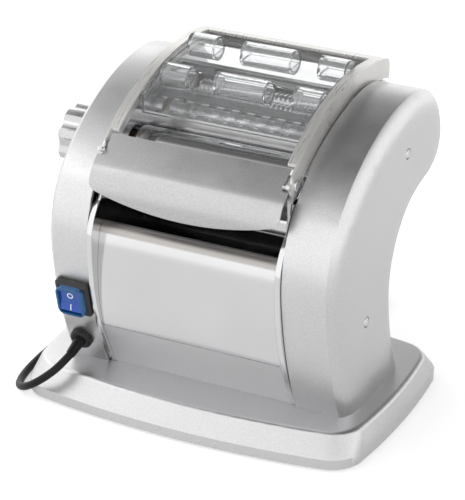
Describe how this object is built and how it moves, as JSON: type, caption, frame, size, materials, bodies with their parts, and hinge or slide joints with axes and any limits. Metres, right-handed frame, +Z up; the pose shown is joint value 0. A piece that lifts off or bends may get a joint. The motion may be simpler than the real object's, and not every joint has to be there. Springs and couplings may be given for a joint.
{
  "type": "electric pasta maker",
  "caption": "Electric pasta maker with smooth rollers, wide and fine cutters under a hinged clear guard, a roller gap knob, rocker switch and mains cord.",
  "frame": {"origin": "centre of the footprint on the surface it stands on", "axes": "+X to the user's right along the rollers, -Y to the front, +Z up"},
  "size_m": [0.3022, 0.3066, 0.2615],
  "materials": {
    "housing_silver": "satin silver paint",
    "base_silver": "satin silver paint",
    "polished_steel": "mirror polished",
    "brushed_steel": "fine horizontal brushing",
    "roller_steel": "ground and polished",
    "gear_steel": "machined",
    "bronze": "sintered bronze",
    "clear_plastic": "clear moulded plastic",
    "knob_silver": "satin silver plastic",
    "black_plastic": "moulded",
    "blue_boot": "soft translucent cover",
    "blue_rocker": "moulded",
    "white_plastic": "moulded",
    "cord_black": "smooth sheath",
    "foot_rubber": "matt",
    "motor_paint": "plated can"
  },
  "bodies": {
    "body": {"apron": "brushed_steel", "apron_pins": "white_plastic", "base": "base_silver", "cord_coil": "cord_black", "cord_gland": "black_plastic", "cutter_combs": "white_plastic", "exit_chute": "polished_steel", "feed_guides": "brushed_steel", "floor_plate": "brushed_steel", "front_panel": "polished_steel", "front_skirt": "polished_steel", "guard_brackets": "brushed_steel", "guard_pivot_screws": "gear_steel", "housing_left": "housing_silver", "housing_pillars": "gear_steel", "housing_right": "housing_silver", "housing_screws": "gear_steel", "motor": "motor_paint", "plug": "cord_black", "power_cord": "cord_black", "rear_panel_lower": "polished_steel", "rear_panel_upper": "brushed_steel", "reduction_stud": "gear_steel", "roller_bushes": "bronze", "rubber_feet": "foot_rubber", "side_plate_left": "polished_steel", "side_plate_right": "polished_steel", "strain_relief": "cord_black", "switch_bezel": "black_plastic", "switch_boot": "blue_boot", "tie_rods": "gear_steel"},
    "guard": {"guard_frame": "brushed_steel", "guard_cover": "clear_plastic", "guard_screws": "gear_steel"},
    "switch": {"switch_rocker": "blue_rocker"},
    "adjuster": {"knob": "knob_silver", "knob_shaft": "gear_steel"},
    "carriage": {"carriage_arms": "gear_steel", "carriage_tie_bar": "gear_steel", "carriage_bushes": "bronze"},
    "smooth_front": {"smooth_roller_front": "roller_steel", "smooth_sync_gear_front": "gear_steel"},
    "smooth_rear": {"smooth_roller_rear": "roller_steel", "smooth_drive_gears": "gear_steel", "smooth_sync_gear_rear": "gear_steel"},
    "wide_front": {"wide_cutter_front": "roller_steel", "wide_drive_gear": "gear_steel", "wide_sync_gear_front": "gear_steel"},
    "wide_rear": {"wide_cutter_rear": "roller_steel", "wide_transfer_gear": "gear_steel", "wide_sync_gear_rear": "gear_steel"},
    "fine_front": {"fine_cutter_front": "roller_steel", "fine_transfer_gear": "gear_steel", "fine_sync_gear_front": "gear_steel"},
    "fine_rear": {"fine_cutter_rear": "roller_steel", "fine_sync_gear_rear": "gear_steel"},
    "reduction": {"reduction_gear": "gear_steel"},
    "motor_drive": {"motor_shaft": "gear_steel", "motor_pinion": "gear_steel"}
  },
  "joints": [
    {"name": "guard_hinge", "type": "hinge", "parent": "body", "child": "guard", "pos_m": [0, -0.06348, 0.2081], "axis": [1, 0, 0], "range_deg": [0, 60]},
    {"name": "switch_rock", "type": "hinge", "parent": "body", "child": "switch", "pos_m": [-0.0954, -0.08596, 0.09], "axis": [1, 0, 0], "range_deg": [0, 16]},
    {"name": "knob_turn", "type": "hinge", "parent": "body", "child": "adjuster", "pos_m": [0, -0.00477, 0.184], "axis": [1, 0, 0], "range_deg": [0, 150]},
    {"name": "carriage_slide", "type": "slide", "parent": "body", "child": "carriage", "axis": [0, 0.8678, 0.497], "range_m": [0, 0.002]},
    {"name": "smooth_rear_spin", "type": "hinge", "parent": "body", "child": "smooth_rear", "pos_m": [0, -0.01943, 0.19269], "axis": [1, 0, 0], "continuous": true},
    {"name": "smooth_front_spin", "type": "hinge", "parent": "carriage", "child": "smooth_front", "pos_m": [0, -0.04997, 0.1752], "axis": [1, 0, 0], "continuous": true},
    {"name": "wide_front_spin", "type": "hinge", "parent": "body", "child": "wide_front", "pos_m": [0, 0.01569, 0.20061], "axis": [1, 0, 0], "continuous": true},
    {"name": "wide_rear_spin", "type": "hinge", "parent": "body", "child": "wide_rear", "pos_m": [0, 0.03367, 0.20139], "axis": [1, 0, 0], "continuous": true},
    {"name": "fine_front_spin", "type": "hinge", "parent": "body", "child": "fine_front", "pos_m": [0, 0.06165, 0.20261], "axis": [1, 0, 0], "continuous": true},
    {"name": "fine_rear_spin", "type": "hinge", "parent": "body", "child": "fine_rear", "pos_m": [0, 0.07963, 0.2034], "axis": [1, 0, 0], "continuous": true},
    {"name": "reduction_spin", "type": "hinge", "parent": "body", "child": "reduction", "pos_m": [0, -0.01318, 0.15724], "axis": [1, 0, 0], "continuous": true},
    {"name": "motor_spin", "type": "hinge", "parent": "body", "child": "motor_drive", "pos_m": [0, -0.01632, 0.12138], "axis": [1, 0, 0], "continuous": true}
  ],
  "couplings": [
    {"joint": "knob_turn", "follows": "carriage_slide", "rad_per_m": 1308.9},
    {"joint": "smooth_front_spin", "follows": "smooth_rear_spin", "ratio": -1},
    {"joint": "wide_front_spin", "follows": "smooth_rear_spin", "ratio": -2},
    {"joint": "wide_rear_spin", "follows": "smooth_rear_spin", "ratio": 2},
    {"joint": "fine_front_spin", "follows": "smooth_rear_spin", "ratio": -2},
    {"joint": "fine_rear_spin", "follows": "smooth_rear_spin", "ratio": 2},
    {"joint": "reduction_spin", "follows": "smooth_rear_spin", "ratio": -2.6},
    {"joint": "motor_spin", "follows": "smooth_rear_spin", "ratio": 6.76}
  ]
}
